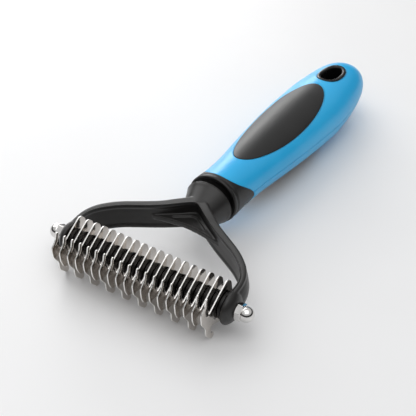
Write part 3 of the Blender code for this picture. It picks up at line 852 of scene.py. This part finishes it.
inlay("grip_pad_top", "grip_inlay_top", 1)
inlay("grip_pad_bottom", "grip_inlay_bottom", -1)

# collar: beaded front, soft body, seam edge against the blue shells
b = Build()
ph = np.radians(np.linspace(0, 360, 180, endpoint=False))
rows = []
for y, d in [(51.6, 5.6), (51.3, 4.2), (51.05, 2.6), (50.85, 1.7), (50.7, 1.15), (50.68, 0.8), (50.74, 0.5), (50.92, 0.24),
             (51.2, 0.08), (51.6, 0.0), (52.1, 0.0), (52.5, 0.10), (52.85, 0.26), (53.15, 0.36), (53.5, 0.34)]:
    rows.append(surf(ph, y, d))
for k in np.linspace(0, 1, 30):
    ys = seam(ph) - ROLL
    y = 53.8 + (ys - 53.8) * k
    rows.append(surf(ph, y, 0.30 * np.clip(1 - (y - 53.8) / 1.0, 0, 1) ** 2))
for g, d in arc[1:] + [(0.0, 1.2)]:
    rows.append(surf(ph, seam(ph) - g, d))
b.add([[tuple(c) for c in r] for r in rows], True)
ob = make("collar_sleeve", b.v, b.f, COLLAR, flip=True)
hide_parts("collar")
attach(ob, "root")

# grommet: raised lip on both faces round an oval tube
b = Build()
w = np.radians(np.linspace(0, 360, 128, endpoint=False))
prof = [(0.0, 1.2), (0.0, 0.02), (0.03, -0.10), (0.10, -0.22), (0.22, -0.31), (0.38, -0.34), (0.55, -0.30), (0.70, -0.17),
        (0.82, 0.04), (0.92, 0.34), (0.98, 0.75), (1.0, 1.3)]
IN_A, IN_B = 4.1, HB - 2.1


def lip_row(lam, d, side):
    xo, yo = hole_loop(w, 0.0)
    xi, yi = hole_loop(w, 0.0, IN_A, IN_B)
    x, y = xo + (xi - xo) * lam, yo + (yi - yo) * lam
    return [tuple(c) for c in skin_at(x, y, side, d)]


rows = [lip_row(l, d, 1) for l, d in prof]
inner_t, inner_b = np.array(lip_row(1.0, 1.3, 1)), np.array(lip_row(1.0, 1.3, -1))
rows += [[tuple(c) for c in inner_t + (inner_b - inner_t) * k] for k in np.linspace(0, 1, 9)[1:-1]]
rows += [lip_row(l, d, -1) for l, d in prof[::-1]]
b.add(rows, True)
ob = make("grommet_ring", b.v, b.f, GLOSS, flip=None)
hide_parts("hang_grommet")
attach(ob, "root")

# carried-over nodes keep their shape and take a finish
for node, mat in (("threaded_rod", THREAD), ("handle_core", SOFT)):
    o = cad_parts[node]
    o.data.materials.clear()
    o.data.materials.append(mat)

# ------------------------------------------------------------------ stage
m, t, p = new_mat("floor_white", (0.86, 0.86, 0.865), 0.42)
n = noise(t, coords(t), 9, 2)
t.links.new(ramp(t, n, [(0.3, (0.845, 0.845, 0.85)), (0.7, (0.87, 0.87, 0.875))]), p.inputs["Base Color"])
p.inputs["Specular IOR Level"].default_value = 0.35
bm = bmesh.new()
bmesh.ops.create_grid(bm, x_segments=8, y_segments=8, size=4.0)
fm = bpy.data.meshes.new("floor")
bm.to_mesh(fm)
bm.free()
fm.materials.append(m)
floor = bpy.data.objects.new("floor", fm)
floor.location = (0, 0, -0.00015)
bpy.context.scene.collection.objects.link(floor)


def area(name, pos, aim, size, power, size_y=None, colour=(1, 1, 1)):
    l = bpy.data.lights.new(name, "AREA")
    l.energy = power
    l.shape = "RECTANGLE"
    l.size, l.size_y = size, size_y or size
    l.color = colour
    o = bpy.data.objects.new(name, l)
    bpy.context.scene.collection.objects.link(o)
    o.location = pos
    o.rotation_mode = "QUATERNION"
    o.rotation_quaternion = (Vector(aim) - Vector(pos)).to_track_quat("-Z", "Y")
    return o


area("key", (-0.90, 0.36, 0.80), (0, 0, 0.0), 1.15, 6.6, 1.15)
area("back", (-0.80, 0.80, 0.30), (0, 0, 0.02), 0.75, 4.0, 0.32)
area("top", (0.25, -0.35, 1.2), (0, 0, 0), 1.2, 4.2, 1.2)

world = bpy.data.worlds.new("studio")
bpy.context.scene.world = world
world.use_nodes = True
t = world.node_tree
bg = t.nodes["Background"]
tc = t.nodes.new("ShaderNodeTexCoord")
sep = t.nodes.new("ShaderNodeSeparateXYZ")
t.links.new(tc.outputs["Generated"], sep.inputs[0])
col = ramp(t, grey(t, sep.outputs["Z"], 0, 1, -0.2, 1.0),
           [(0.0, (0.5, 0.5, 0.5)), (0.16, (0.05, 0.05, 0.05)), (0.42, (0.04, 0.04, 0.04)), (0.54, (0.75, 0.75, 0.752)), (0.8, (1.0, 1.0, 1.0))])
t.links.new(col, bg.inputs["Color"])
bg.inputs["Strength"].default_value = 0.68

sc = bpy.context.scene
sc.view_settings.view_transform = "Standard"
sc.view_settings.look = "None"
sc.view_settings.exposure = 0.0
sc.view_settings.gamma = 1.0

# ------------------------------------------------------------------ camera
cam = bpy.data.cameras.new("camera")
cam.sensor_width = 36
cam.lens = 95.67
cam.clip_start, cam.clip_end = 0.01, 20
co = bpy.data.objects.new("camera", cam)
sc.collection.objects.link(co)
R = Vector((0.8493567745523686, 0.5263619327600457, 0.039194199355340804))
U = Vector((-0.34515988846430024, 0.49771238860400535, 0.7957053660906198))
B = Vector((0.3993215758224301, -0.6893660087146773, 0.6044144150427638))
C = Vector((0.197827, -0.381842, 0.314959))
co.matrix_world = Matrix(((R.x, U.x, B.x, C.x), (R.y, U.y, B.y, C.y), (R.z, U.z, B.z, C.z), (0, 0, 0, 1)))
sc.camera = co
